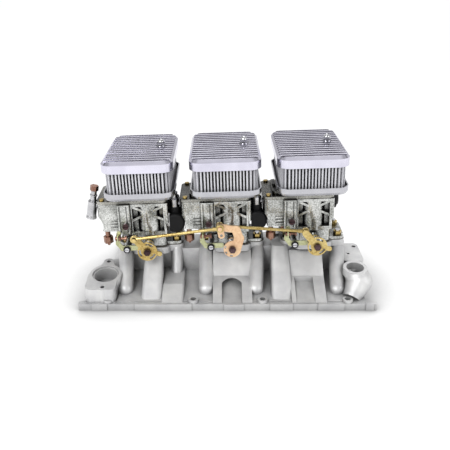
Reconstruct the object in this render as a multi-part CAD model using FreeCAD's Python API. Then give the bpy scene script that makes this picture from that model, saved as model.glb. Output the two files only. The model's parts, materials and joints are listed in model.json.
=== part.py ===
"""A row of three twin-barrel downdraught carburetors on a tall V8 intake manifold, with filters and linkage.

Millimetres. +X runs along the engine, -Y is the linkage side and +Z is up. z = 0 is the flange's lower face,
and x = 0, y = 0 is the middle of its length and width. Everything that stands on the carburetor pads is
drawn on level pads first and then leaned by row_tilt, because the pads rise towards the distributor end.
"""

import FreeCAD, Part
import math
import os

V = FreeCAD.Vector
X_AXIS, Y_AXIS, Z_AXIS = V(1, 0, 0), V(0, 1, 0), V(0, 0, 1)

# ---- layout of the row ----
carb_names = ("left", "middle", "right")
carb_pitch = 146.0
row_shift = 8.0  # stud centre of the middle carburetor from the manifold's middle
filter_shift = -8.0  # filter centre from the stud centre
pad_top = 81.0  # height of the faces that the carburetors stand on, at row_shift
row_tilt = 1.96  # degrees, the pads rise towards the distributor end

# ---- manifold casting ----
manifold_length = 511.0
manifold_half_width = 137.0
flange_thickness = 12.4
flange_corner = 6.0
strip_spans = ((-232, -206), (-159, -62), (-7, 27), (72, 111), (154, 199), (236, 250))  # raised strips
rail_depth = 9.0  # of the flange's thin ends, in front of the housings
rear_half_length = 218.0
flange_lip = 1.6  # how far the joint strips stand proud of the flange edge
plenum_half_width = 31.0
plenum_end = 60.0  # plenum length past the outer stud centres
plenum_wall = 5.0
plenum_corner = 12.0
pad_thickness = 12.0
pad_floor = 3.0  # left under the part of each bore that overhangs the plenum
pad_corner = 12.0
pad_half_length = 34.0  # of the broad part below the throttle block
pad_half_width = 46.5
port_width = 28.0
port_depth = 46.0
port_corner = 7.0
port_step = 0.8
port_rise = 9.0  # straight part of a tall runner's port
port_y = 104.0
runner_wall = 5.0
runner_throat = 20.0
tall_runner_x = (-132.0, 94.0)
tall_runner_drop = 3.0  # below the carburetor pad
short_runner_x = -95.5
short_runner_top = 30.0
short_runner_brow = 95.0  # where its level top turns down to the flange
panel_runner_x = 134.0
passage_height = 14.0  # of the two low runners
passage_floor = 6.0
saddle_top = 37.0  # brow of the two sloping saddles
saddle_brow = 78.0
saddle_head = 70.0
saddle_neck = 42.0
crossover_half_length = 34.0
panel_half_length = 30.0
niche_width = 35.0
niche_y = 72.0
niche_top = 35.0
panel_width = 33.0
panel_depth = 10.0  # at the brow, running out to nothing at the flange
skirt_height = 25.0
skirt_edge = 128.0
boss_radius = 12.0
column_radius = 10.5
column_foot_y = 52.0
bullet_radius = 13.3
bullet_foot_y = 96.0
bullet_foot_z = 20.5
bullet_lean = 5.0  # how far the outer and right bullets lean in at the foot
flange_bolt_x = (59.5, 206.0)
flange_bolt_y = 125.5
flange_bolt_radius = 5.0
flange_bolt_boss = 9.0
flange_bolt_height = 17.5
outlet_x = -214.0  # coolant outlet
outlet_y = -86.5
outlet_height = 45.0
outlet_tilt = 9.0  # lean of its face towards the linkage side
outlet_radius = 20.0
outlet_seat_radius = 23.0
outlet_seat_depth = 3.0
outlet_wall = 5.0
outlet_depth = 26.0
outlet_bolt_reach = 37.0  # from the opening's middle
outlet_bolt_radius = 3.5
outlet_lug_radius = 9.0
outlet_house_left = -244.0
outlet_house_front = 131.0
distributor_x = 224.0
distributor_y = -82.5
distributor_height = 56.0
distributor_tilt = 6.0
distributor_radius = 15.5
distributor_wall = 5.5
distributor_depth = 32.0
tab_x = (211.0, 251.0)
tab_y = (-38.0, 38.0)
tab_height = 46.0
tab_bolt_radius = 4.0
tab_pin_radius = 2.75
end_neck_height = 38.0

# ---- carburetor casting ----
stud_x = 46.0  # half the stud pattern along the row
stud_y = 23.5  # half the stud pattern across the row
stud_radius = 4.0
stud_clearance = 0.4
stud_depth = 16.0
nut_height = 6.5
nut_flats = 13.0
gasket_thickness = 1.5
ear_thickness = 5.0
ear_radius = 11.0
throttle_block_height = 27.0
throttle_block_half_length = 30.0
barrel_spacing = 45.0
throat_radius = 18.0
barrel_radius = 20.0
body_height = 84.0  # top of the body casting above the pad
cover_gap = 0.6
carb_height = 106.5  # seat of the filter above the pad
body_half_width = 45.0
barrel_left = -33.0
barrel_right = 32.0
wall_thickness = 3.6
pocket_depth = 9.0  # recess between the front wall's frame and the barrels
bowl_left = -90.0
bowl_bottom = 33.0
bowl_half_width = 43.0
bowl_corner = 12.0
bowl_wall = 4.0
pilaster_width = 21.0
pilaster_proud = 4.0
web_width = 4.0
fin_height = 2.6
fin_proud = 1.6
cover_flange = 5.0
cover_dome_inset = 5.0
body_right = 35.0
throat_top = 40.0
screw_radius = 2.5
screw_length = 14.0
screw_boss_radius = 6.0
tower_half_length = 31.0
jet_x = -40.0
jet_z = 45.0
jet_radius = 3.0
jet_depth = 9.0
jet_seat_radius = 6.5
inlet_x = -100.4
inlet_y = -22.0
inlet_radius = 8.6
inlet_bore = 6.5
inlet_mouth = 52.0
inlet_neck_z = 76.0
inlet_neck_radius = 5.0
inlet_top = 105.0
inlet_lean = 12.0  # degrees, of the first inlet away from its bowl
inlet_low_top = 98.0  # of the inlets that stand under a neighbour's filter
inlet_plug_flats = 13.0
inlet_plug_height = 9.0
boot_wall = 1.4
boot_z = 43.0  # middle of the round end of a boot
boot_radius = 18.0
boot_front = 40.0
boot_depth = 24.0
boot_edge = 5.0  # rounding of its rims
boot_flat = -109.9  # its left side, cut flat beside the neighbour
scallop_radius = 19.5  # hollow in the bowl's front left corner
scallop_back = 13.0
bowl_plug_x = -76.0
bowl_plug_y = -35.0
bowl_plug_neck = 12.0
bowl_plug_height = 12.0
bowl_plug_flats = 15.0
vent_screw_x = -56.0
vent_screw_y = -32.0
bracket_front = 76.0
bracket_thickness = 2.0
bracket_screw_radius = 2.5
bracket_right = -19.0
post_x = -37.0  # cast post that carries the bracket
post_z = 12.5
post_radius = 5.5
washer_radius = 6.2
idle_screw_z = 36.0
idle_screw_y = -81.0
idle_screw_radius = 2.2
idle_tab_x = -50.0
booster_z = 54.0

# ---- throttle and linkage ----
shaft_height = 14.5
shaft_radius = 4.0
running_clearance = 0.06
shaft_boss_radius = 8.5
shaft_boss_end = 58.0
shaft_front = 98.0
shaft_rear = 56.0
plate_thickness = 1.5
plate_clearance = 0.15
lever_thickness = 3.0
lever_front = 92.0
hub_radius = 8.0
hub_back = 60.0
disc_radius = 17.0
master_arm = 46.0
throttle_swing = 52.0  # of the middle throttle
throttle_ratio = 1.5  # outer throttles to the middle one
pin_radius = 2.5
pin_clearance = 0.08
pin_length = 9.0
rod_radius = 2.6
rod_eye_radius = 6.5
rod_eye_thickness = 4.0
rod_slot_width_play = 0.35
rod_gap = 0.7
shaft_nut_flats = 11.0
shaft_nut_height = 5.0
pin_collar = 1.6

# ---- choke and float ----
choke_shaft_height = 93.0
choke_shaft_radius = 2.5
choke_plate_thickness = 1.2
choke_lever_y = 51.0
choke_cap_radius = 19.0
choke_cap_x = 40.0
choke_cap_depth = 11.0
choke_cap_y = 18.0
choke_cap_z = 62.0
float_pivot_x = -40.0
float_pivot_z = 76.0
float_pin_radius = 1.5
float_gap = 12.0
float_height = 18.0
float_lug_inner = 9.0
float_lug_outer = 13.0
float_half_width = 29.0

# ---- filters ----
filter_width = 120.0
filter_depth = 178.0
filter_corner = 21.0
filter_base_height = 12.5
filter_sheet = 2.0
filter_neck_radius = 23.0
element_inset = 6.0
element_depth = 14.0
lid_height = 19.0
lid_bevel = 5.0
filter_total = 67.0
rib_pitch = 12.0
rib_depth = 1.6
lid_nut_x = 34.0
lid_nut_y = 8.0
lid_stud_radius = 3.0
lid_nut_radius = 7.0
seal_thickness = 3.0

lid_roof = 4.0
filter_floor = 2.0
lid_stud_grip = 14.0

# ---- worked out ----
carb_x = {name: row_shift + (i - 1) * carb_pitch for i, name in enumerate(carb_names)}
half_swing = math.radians(throttle_swing / 2)
half_swing_side = half_swing * throttle_ratio
arm_reach = master_arm * math.sin(half_swing)
side_arm = arm_reach / math.sin(half_swing_side)
middle_pin = (-arm_reach, master_arm * math.cos(half_swing))
side_pin = (-arm_reach, side_arm * math.cos(half_swing_side))
barrel_y = (-barrel_spacing / 2, barrel_spacing / 2)
shaft_z = pad_top + shaft_height
cover_seat = body_height + cover_gap
filter_seat_z = pad_top + carb_height
slot_rise = ((master_arm - middle_pin[1]) * -1 + (side_arm - side_pin[1])) / 2
slot_play = abs(slot_rise) + rod_slot_width_play

# ---- shape helpers ----
def box(x0, x1, y0, y1, z0, z1):
    return Part.makeBox(x1 - x0, y1 - y0, z1 - z0, V(x0, y0, z0))


def rod(radius, start, end):
    axis = end - start
    return Part.makeCylinder(radius, axis.Length, start, axis)


def cone(radius_start, radius_end, start, end):
    axis = end - start
    return Part.makeCone(radius_start, radius_end, axis.Length, start, axis)


def fuse(shapes):
    return shapes[0].multiFuse(shapes[1:])


def hexagon(across_flats, height, centre, axis=Z_AXIS):
    """A hexagonal prism that grows from centre along axis."""
    radius = across_flats / math.sqrt(3)
    corners = [V(radius * math.cos(i * math.pi / 3), radius * math.sin(i * math.pi / 3), 0) for i in range(7)]
    prism = Part.Face(Part.makePolygon(corners)).extrude(V(0, 0, height))
    prism.Placement = FreeCAD.Placement(centre, FreeCAD.Rotation(Z_AXIS, axis))
    return prism


def rounded_rectangle(centre, along, across, width, height, corner):
    """A closed wire with round corners, width along one unit vector and height along the other."""
    def at(a, b):
        return centre + along * a + across * b

    w, h = width / 2, height / 2
    r = min(corner, w - 0.01, h - 0.01)
    edges = []
    for sx, sy, turn in ((1, 1, 0), (-1, 1, 1), (-1, -1, 2), (1, -1, 3)):
        cx, cy = sx * (w - r), sy * (h - r)
        a0 = turn * math.pi / 2
        p = [at(cx + r * math.cos(a0 + d), cy + r * math.sin(a0 + d)) for d in (0, math.pi / 4, math.pi / 2)]
        edges.append(Part.Arc(p[0], p[1], p[2]).toShape())
    ends = [(e.Vertexes[0].Point, e.Vertexes[-1].Point) for e in edges]
    wire = []
    for i, edge in enumerate(edges):
        wire.append(edge)
        start, end = ends[i][1], ends[(i + 1) % 4][0]
        if start.distanceToPoint(end) > 0.05:
            wire.append(Part.makeLine(start, end))
    return Part.Wire(wire)


def rounded_block(x0, x1, y0, y1, z0, z1, corner):
    centre = V((x0 + x1) / 2, (y0 + y1) / 2, z0)
    wire = rounded_rectangle(centre, X_AXIS, Y_AXIS, x1 - x0, y1 - y0, corner)
    return Part.Face(wire).extrude(V(0, 0, z1 - z0))


def prism_x(points, x0, x1):
    """A prism along X from (y, z) points."""
    corners = [V(x0, y, z) for y, z in points]
    return Part.Face(Part.makePolygon(corners + corners[:1])).extrude(V(x1 - x0, 0, 0))


def prism_y(points, y0, y1):
    """A prism along Y from (x, z) points."""
    corners = [V(x, y0, z) for x, z in points]
    return Part.Face(Part.makePolygon(corners + corners[:1])).extrude(V(0, y1 - y0, 0))


def bar_y(start, end, width, y0, y1):
    """A flat bar with round ends between two (x, z) points, its thickness along Y."""
    a, b = V(start[0], y0, start[1]), V(end[0], y0, end[1])
    along = b.sub(a).normalize()
    side = V(-along.z, 0, along.x) * (width / 2)
    edges = [
        Part.makeLine(a + side, b + side),
        Part.Arc(b + side, b + along * (width / 2), b - side).toShape(),
        Part.makeLine(b - side, a - side),
        Part.Arc(a - side, a - along * (width / 2), a + side).toShape(),
    ]
    return Part.Face(Part.Wire(edges)).extrude(V(0, y1 - y0, 0))


def placed(shape, name):
    """A shape drawn about a carburetor's stud centre on the pad, moved to its place in the row."""
    copy = shape.copy()
    copy.translate(V(carb_x[name], 0, pad_top))
    return copy


def tilted(shape):
    """A shape drawn on level pads, leaned with the row."""
    copy = shape.copy()
    copy.rotate(V(row_shift, 0, pad_top), Y_AXIS, -row_tilt)
    return copy


def mirrored(shape):
    return shape.mirror(V(0, 0, 0), Y_AXIS)


def bullet(top, foot, radius):
    """A round pillar from top to foot that ends in a half ball."""
    axis = foot - top
    length = axis.Length
    profile = Part.Wire([
        Part.makeLine(V(0, 0, 0), V(radius, 0, 0)),
        Part.makeLine(V(radius, 0, 0), V(radius, 0, length)),
        Part.Arc(
            V(radius, 0, length),
            V(radius * math.sqrt(0.5), 0, length + radius * math.sqrt(0.5)),
            V(0, 0, length + radius),
        ).toShape(),
        Part.makeLine(V(0, 0, length + radius), V(0, 0, 0)),
    ])
    shape = Part.Face(profile).revolve(V(0, 0, 0), Z_AXIS, 360)
    shape.Placement = FreeCAD.Placement(top, FreeCAD.Rotation(Z_AXIS, axis))
    return shape


def tapered_block(low, low_size, high, high_size, corner):
    """A leaning block between two level round-cornered rectangles."""
    bottom = rounded_rectangle(low, X_AXIS, Y_AXIS, low_size[0], low_size[1], corner)
    top = rounded_rectangle(high, X_AXIS, Y_AXIS, high_size[0], high_size[1], corner)
    return Part.makeLoft([bottom, top], True, True)


def tube(outer, inner, start, end):
    return rod(outer, start, end).cut(rod(inner, start, end))


# ---- manifold ----
def tall_runner(x, inside):
    """A runner from a flange port up to the plenum, as the casting's outside or as its passage."""
    wall = 0 if inside else runner_wall
    low_z = port_rise - 3 if inside else flange_thickness - 6
    low = V(x, -port_y, low_z)
    high = V(x, -plenum_half_width + (2 if inside else 4), pad_top - tall_runner_drop - (9 if inside else 0))
    low_size = (port_width + 2 * wall, port_depth + 2 * wall)
    high_size = (runner_throat + 2 * wall, runner_throat + 2 * wall)
    runner = tapered_block(low, low_size, high, high_size, port_corner + wall / 2)
    return runner if inside else below_pads(runner)


def below_pads(shape):
    """The part of a shape that stays under the pads' faces."""
    return shape.cut(tilted(box(-400, 400, -200, 200, pad_top - 1.5, pad_top + 60)))


def port(x):
    """The upright mouth of a tall runner in the flange, a little wider than the passage that leaves it."""
    w, d = port_width / 2 + port_step, port_depth / 2 + port_step
    return rounded_block(x - w, x + w, -port_y - d, -port_y + d, -1, port_rise, port_corner)


def low_passage(x):
    """The passage of a low runner: up from its port and level into the plenum."""
    near, far = -port_y + port_depth / 2, -port_y - port_depth / 2
    top = passage_floor + passage_height
    inner = -plenum_half_width + plenum_wall + 6
    outline = [(far, -1), (far, 8), (far + 17, 14), (far + 37, top), (inner, top), (inner, passage_floor)]
    outline += [(near, passage_floor), (near, -1)]
    return prism_x(outline, x - port_width / 2 + 1, x + port_width / 2 - 1)


def short_runner():
    """The low runner with a level top, its edges rounded."""
    half = port_width / 2 + runner_wall
    low, foot = flange_thickness - 1, -port_y - port_depth / 2 - runner_wall
    inner = -plenum_half_width + 3
    outline = [(inner, low), (inner, short_runner_top), (-short_runner_brow, short_runner_top)]
    outline += [(foot, flange_thickness + 1), (foot, low)]
    block = prism_x(outline, short_runner_x - half, short_runner_x + half)
    brow = [e for e in block.Edges if e.BoundBox.ZMax > short_runner_top - 0.1 and e.BoundBox.YMin < -40]
    return block.makeFillet(4, brow)


def saddle(x, half):
    """A slope from the plenum out over the valley and down to the flange."""
    low, foot = flange_thickness - 1, -port_y - port_depth / 2 - runner_wall
    inner = -plenum_half_width + 3
    outline = [(inner, low), (inner, saddle_head), (-saddle_neck, saddle_head)]
    outline += [(-saddle_brow, saddle_top), (foot, flange_thickness + 1), (foot, low)]
    return prism_x(outline, x - half, x + half)


def arch(x, width, y_low, z_low, z_top):
    """A cutter with an arched top that comes in from the front."""
    spring = z_top - width / 8
    start = -manifold_half_width - 10
    left, right = V(x - width / 2, start, spring), V(x + width / 2, start, spring)
    foot_left, foot_right = V(left.x, start, z_low), V(right.x, start, z_low)
    outline = Part.Wire([
        Part.Arc(left, V(x, start, z_top), right).toShape(),
        Part.makeLine(right, foot_right),
        Part.makeLine(foot_right, foot_left),
        Part.makeLine(foot_left, left),
    ])
    return Part.Face(outline).extrude(V(0, y_low - start, 0))


def panel_recess():
    """A scoop in the face of the right saddle: deep under the brow, running out at the flange."""
    y0, y1 = -manifold_half_width - 4, -saddle_brow - 2
    low = flange_thickness + 0.8
    outline = [(y1, saddle_top - panel_depth), (y0 + 10, low), (y0, low), (y0, 60), (y1, 60)]
    half = panel_width / 2
    return prism_x(outline, panel_runner_x - half, panel_runner_x + half)


def bullet_places():
    """The studs whose columns lean out over the valley, each with the shift of its foot along the row."""
    lean = bullet_lean
    return {("left", -1): lean, ("middle", -1): 0.0, ("middle", 1): -lean, ("right", 1): -1.6 * lean}


def columns():
    shapes = []
    places = bullet_places()
    for name in carb_names:
        for side in (-1, 1):
            x = carb_x[name] + side * stud_x
            top = V(x, -stud_y, pad_top)
            shapes.append(tilted(rod(boss_radius, V(x, -stud_y, pad_top - pad_thickness), top)))
            start = V(x, -stud_y - 2, pad_top - pad_thickness - 2)
            if (name, side) in places:
                foot = V(x + places[(name, side)], -bullet_foot_y, bullet_foot_z)
                shapes.append(below_pads(bullet(start, foot, bullet_radius)))
            else:
                foot = V(x, -column_foot_y, flange_thickness - 1)
                shapes.append(rod(column_radius, start + Z_AXIS * 3, foot))
    return shapes


def flange_bolts(hole):
    shapes = []
    for x in flange_bolt_x:
        for side in (-1, 1):
            centre = V(side * x, -flange_bolt_y, -1 if hole else 1)
            top = V(side * x, -flange_bolt_y, flange_bolt_height + (1 if hole else 0))
            shapes.append(rod(flange_bolt_radius if hole else flange_bolt_boss, centre, top))
    return shapes


def edge_strips(reach):
    """Raised strips on the flange's long edge, as far as reach from the middle."""
    y0 = -manifold_half_width
    spans = [(x0, x1) for x0, x1 in strip_spans if max(-x0, x1) < reach]
    return [box(x0, x1, y0, y0 + 8, 0.5, flange_thickness + 0.6) for x0, x1 in spans]


def flange_plate():
    """The flange: a long front rail that stands past the housings, with the plate behind it drawn in."""
    half, edge, rear = manifold_length / 2, manifold_half_width - flange_lip, rear_half_length
    rail = -edge + rail_depth
    left, right = outlet_house_left, distributor_x + 14
    tab = tab_x[1] + 2
    outline = [
        (-half, -edge), (half, -edge), (half, rail), (right, rail + 10), (right, -60), (tab, tab_y[0] - 6),
        (tab, tab_y[1] + 6), (rear, tab_y[1] + 22), (rear, edge), (-rear, edge), (-rear, -38), (left, -60),
        (left, rail + 4), (-half, rail), (-half, -edge),
    ]
    plate = Part.Face(Part.makePolygon([V(x, y, 0) for x, y in outline])).extrude(V(0, 0, flange_thickness))
    upright = [e for e in plate.Edges if e.BoundBox.ZLength > flange_thickness - 0.1]
    return plate.makeFillet(flange_corner / 2, upright)


def facing(shape, x, y, z, tilt):
    """A shape drawn about an upright axis with its mouth at z = 0, leaned towards the linkage side."""
    copy = shape.copy()
    copy.rotate(V(0, 0, 0), X_AXIS, tilt)
    copy.translate(V(x, y, z))
    return copy


def outlet_bolts():
    reach = V(0, outlet_bolt_reach, 0)
    return [reach, reach * -1]


def coolant_outlet():
    """The housing at the left end: a collar, two bolt lugs and a block, all cut off by one leaning face."""
    low, high = flange_thickness - 2, outlet_height + 30
    centre = V(outlet_x, outlet_y, low)
    radius = outlet_seat_radius + outlet_wall
    shapes = [rod(radius, centre, centre + Z_AXIS * (high - low))]
    for reach in outlet_bolts():
        at = centre + V(reach.x, reach.y * math.cos(math.radians(outlet_tilt)), 0)
        shapes.append(rod(outlet_lug_radius, at, at + Z_AXIS * (high - low)))
        along = reach.normalize() * (outlet_bolt_reach / 2)
        side = V(-along.y, along.x, 0).normalize()
        near, far = side * (radius - 6), side * (outlet_lug_radius - 1)
        corners = [centre + near, at + far, at - far, centre - near, centre + near]
        shapes.append(Part.Face(Part.makePolygon(corners)).extrude(V(0, 0, high - low)))
    right = outlet_x + radius - 6
    shapes.append(rounded_block(outlet_house_left, right, -outlet_house_front, outlet_y + 6, low, high, 10))
    housing = fuse(shapes)
    keep = facing(box(-90, 90, -90, 90, -90, 0), outlet_x, outlet_y, outlet_height, outlet_tilt)
    housing = housing.common(keep)
    neck = rounded_block(outlet_x, carb_x["left"] - plenum_end + 20, -62, -14, low, end_neck_height, 9)
    return [housing, neck]


def coolant_outlet_holes():
    shapes = [
        rod(outlet_radius, V(0, 0, -outlet_depth), V(0, 0, 1)),
        rod(outlet_seat_radius, V(0, 0, -outlet_seat_depth), V(0, 0, 30)),
    ]
    for reach in outlet_bolts():
        shapes.append(rod(outlet_bolt_radius, reach + Z_AXIS * -10, reach + Z_AXIS * 12))
    return [facing(shape, outlet_x, outlet_y, outlet_height, outlet_tilt) for shape in shapes]


def distributor_boss():
    """The round housing at the right end, which bellies out below its collar, and the lug behind it."""
    radius = distributor_radius + distributor_wall
    place = (distributor_x, distributor_y, distributor_height, distributor_tilt)
    collar = facing(rod(radius, V(0, 0, -14), V(0, 0, 8)), *place)
    low = flange_thickness - 2
    head = V(distributor_x, distributor_y, distributor_height - 8)
    belly = V(distributor_x + 7, distributor_y - 8, distributor_height - 23)
    foot = V(distributor_x - 9, distributor_y - 30, low)
    upper, lower = cone(radius - 1, radius + 2.5, head, belly), cone(radius + 2.5, radius - 5, belly, foot)
    ball = Part.makeSphere(radius + 2.5, belly)
    body_here = fuse([collar, ball, upper, lower])
    keep = facing(box(-60, 60, -60, 60, -70, 0), *place)
    keep = keep.common(box(0, 400, -manifold_half_width, 100, low, 200))
    tab = rounded_block(tab_x[0], tab_x[1], tab_y[0], tab_y[1], low, tab_height, 9)
    neck = rounded_block(carb_x["right"] + plenum_end - 20, distributor_x, -60, -14, low, end_neck_height, 9)
    return [body_here.common(keep), tab, neck]


def tab_holes():
    """Centres of the two holes in the lug's top: for a bolt and for a pin."""
    return V(tab_x[1] - 8, tab_y[1] - 14, tab_height), V(tab_x[0] + 16, tab_y[0] + 31, tab_height)


def distributor_holes():
    bore = rod(distributor_radius, V(0, 0, -distributor_depth), V(0, 0, 12))
    shapes = [facing(bore, distributor_x, distributor_y, distributor_height, distributor_tilt)]
    for at, radius in zip(tab_holes(), (tab_bolt_radius, tab_pin_radius)):
        shapes.append(rod(radius, at + Z_AXIS * -14, at + Z_AXIS))
    return shapes


def skirt():
    """The sloping valley wall from the plenum down to the flange's edge."""
    low = flange_thickness - 3
    y_in = -plenum_half_width + 3
    outline = [(-skirt_edge, low), (-skirt_edge, flange_thickness + 1), (y_in, skirt_height), (y_in, low)]
    return prism_x(outline, carb_x["left"] - plenum_end + 8, carb_x["right"] + plenum_end - 8)


def plenum(inside):
    """The long box below the pads, level at its foot and leaning at its top, or the space in it."""
    wall = plenum_wall if inside else 0
    x0, x1 = carb_x["left"] - plenum_end + wall, carb_x["right"] + plenum_end - wall
    w = plenum_half_width - wall
    low = flange_thickness - (4 if inside else 1)
    block = rounded_block(x0, x1, -w, w, low, pad_top + 20, plenum_corner - wall)
    top = pad_top - pad_thickness + (-1 if inside else 2)
    return block.common(tilted(box(-400, 400, -200, 200, -200, top)))


def pads():
    shapes = []
    for name in carb_names:
        x, z0 = carb_x[name], pad_top - pad_thickness
        reach_x, reach_y = stud_x + pad_corner, stud_y + pad_corner
        for long, wide in ((reach_x, reach_y), (pad_half_length, pad_half_width)):
            shapes.append(tilted(rounded_block(x - long, x + long, -wide, wide, z0, pad_top, pad_corner)))
    return shapes


def pad_holes():
    """The barrels' bores and the stud holes in the pads."""
    shapes = []
    floor = pad_top - pad_thickness
    w = plenum_half_width - plenum_wall
    for name in carb_names:
        x = carb_x[name]
        for y in barrel_y:
            shapes.append(rod(barrel_radius + 0.5, V(x, y, floor + pad_floor), V(x, y, pad_top + 1)))
            lower = rod(barrel_radius + 0.5, V(x, y, floor - 3), V(x, y, floor + pad_floor + 1))
            shapes.append(lower.common(box(x - 30, x + 30, -w, w, 0, pad_top)))
        for sx, sy in stud_places():
            at = V(x + sx, sy, 0)
            shapes.append(rod(stud_radius, at + Z_AXIS * (pad_top - stud_depth), at + Z_AXIS * (pad_top + 1)))
    return [tilted(shape) for shape in shapes]


def manifold():
    front = [tall_runner(x, False) for x in tall_runner_x]
    front += [short_runner(), saddle(row_shift, crossover_half_length)]
    front += [saddle(panel_runner_x + 6, panel_half_length)]
    front += [skirt()] + columns() + flange_bolts(False)
    casting = fuse([flange_plate(), plenum(False)] + pads() + coolant_outlet() + distributor_boss())
    casting = fuse([casting] + front + edge_strips(manifold_length))
    casting = fuse([casting] + [mirrored(s) for s in front + edge_strips(rear_half_length)])

    side = [tall_runner(x, True) for x in tall_runner_x] + [port(x) for x in tall_runner_x]
    side += [low_passage(x) for x in (short_runner_x, panel_runner_x)] + flange_bolts(True)
    side += [arch(row_shift - 1, niche_width, -niche_y, flange_thickness, niche_top), panel_recess()]
    cuts = [plenum(True)] + side + [mirrored(s) for s in side]
    cuts += coolant_outlet_holes() + distributor_holes() + pad_holes()
    for cut in cuts:
        casting = casting.cut(cut)
    return casting


# ---- carburetor castings, drawn about the stud centre with z = 0 on the pad ----
def stud_places():
    return [(sx * stud_x, sy * stud_y) for sx in (-1, 1) for sy in (-1, 1)]


def gasket():
    w, d = stud_x + ear_radius, stud_y + ear_radius
    sheet = rounded_block(-w, w, -d, d, 0, gasket_thickness, ear_radius - 1)
    length, deep = throttle_block_half_length, body_half_width - 1
    waist = rounded_block(-length, length, -deep, deep, 0, gasket_thickness, 10)
    sheet = sheet.fuse(waist)
    for y in barrel_y:
        sheet = sheet.cut(rod(barrel_radius + 0.5, V(0, y, -1), V(0, y, 5)))
    for x, y in stud_places():
        sheet = sheet.cut(rod(stud_radius + stud_clearance, V(x, y, -1), V(x, y, 5)))
    return sheet


def front_frame():
    """Crossed and upright webs in the recess of the long walls."""
    y0, y1 = -body_half_width + 1, -body_half_width + pocket_depth + 4
    left, right = barrel_left + 5, barrel_right - 5
    low, high = throttle_block_height + 26, body_height - 5
    shapes = [
        bar_y((left, low), (right, high), web_width, y0, y1),
        bar_y((left, high), (right, low), web_width, y0, y1),
    ]
    for x in (-9, 9):
        shapes.append(box(x - 1.6, x + 1.6, y0 + 1, y1, throttle_block_height, (low + high) / 2))
    return shapes


def bowl_block():
    block = rounded_block(
        bowl_left, barrel_left + 4, -bowl_half_width, bowl_half_width, bowl_bottom, body_height, bowl_corner,
    )
    r = bowl_corner
    corner = V(bowl_left + r, -100, bowl_bottom + r)
    start, end = V(bowl_left, -100, bowl_bottom + r), V(bowl_left + r, -100, bowl_bottom)
    middle = corner + V(-r * math.sqrt(0.5), 0, -r * math.sqrt(0.5))
    far = barrel_left + 5
    outline = Part.Wire([
        Part.Arc(start, middle, end).toShape(),
        Part.makeLine(end, V(far, -100, bowl_bottom)),
        Part.makeLine(V(far, -100, bowl_bottom), V(far, -100, body_height + 1)),
        Part.makeLine(V(far, -100, body_height + 1), V(bowl_left, -100, body_height + 1)),
        Part.makeLine(V(bowl_left, -100, body_height + 1), start),
    ])
    return block.common(Part.Face(outline).extrude(V(0, 200, 0))).cut(scallop(0))


def scallop(wall):
    """The round hollow in the bowl's front left corner, grown by wall for the space behind it."""
    start = V(inlet_x, -bowl_half_width - 2, boot_z)
    return rod(scallop_radius + wall, start, V(inlet_x, -scallop_back + wall, boot_z))


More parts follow.
